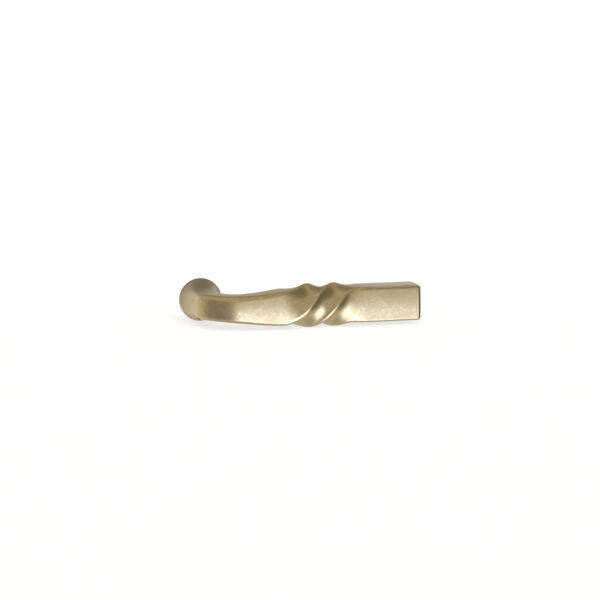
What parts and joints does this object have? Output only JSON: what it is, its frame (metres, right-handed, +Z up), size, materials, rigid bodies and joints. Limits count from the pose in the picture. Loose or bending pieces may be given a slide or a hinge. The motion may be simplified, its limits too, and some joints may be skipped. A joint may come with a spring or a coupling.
{
  "type": "lever handle",
  "caption": "Cast bronze door lever: flared round neck, tight elbow and a square grip with a left-handed twist in its length, locked on its spindle by a set screw.",
  "frame": {"origin": "middle of the shoulder that meets the rose, on the spindle's axis", "axes": "+X along the grip to its free end, +Y into the door along the spindle's axis, +Z up"},
  "size_m": [0.1158, 0.052, 0.022],
  "materials": {
    "cast_bronze": "pale bronze, sand-blasted and lightly burnished, satin",
    "screw_steel": "plain steel, fine turned"
  },
  "bodies": {
    "root": {"lever_handle": "cast_bronze", "set_screw": "screw_steel"}
  },
  "joints": []
}
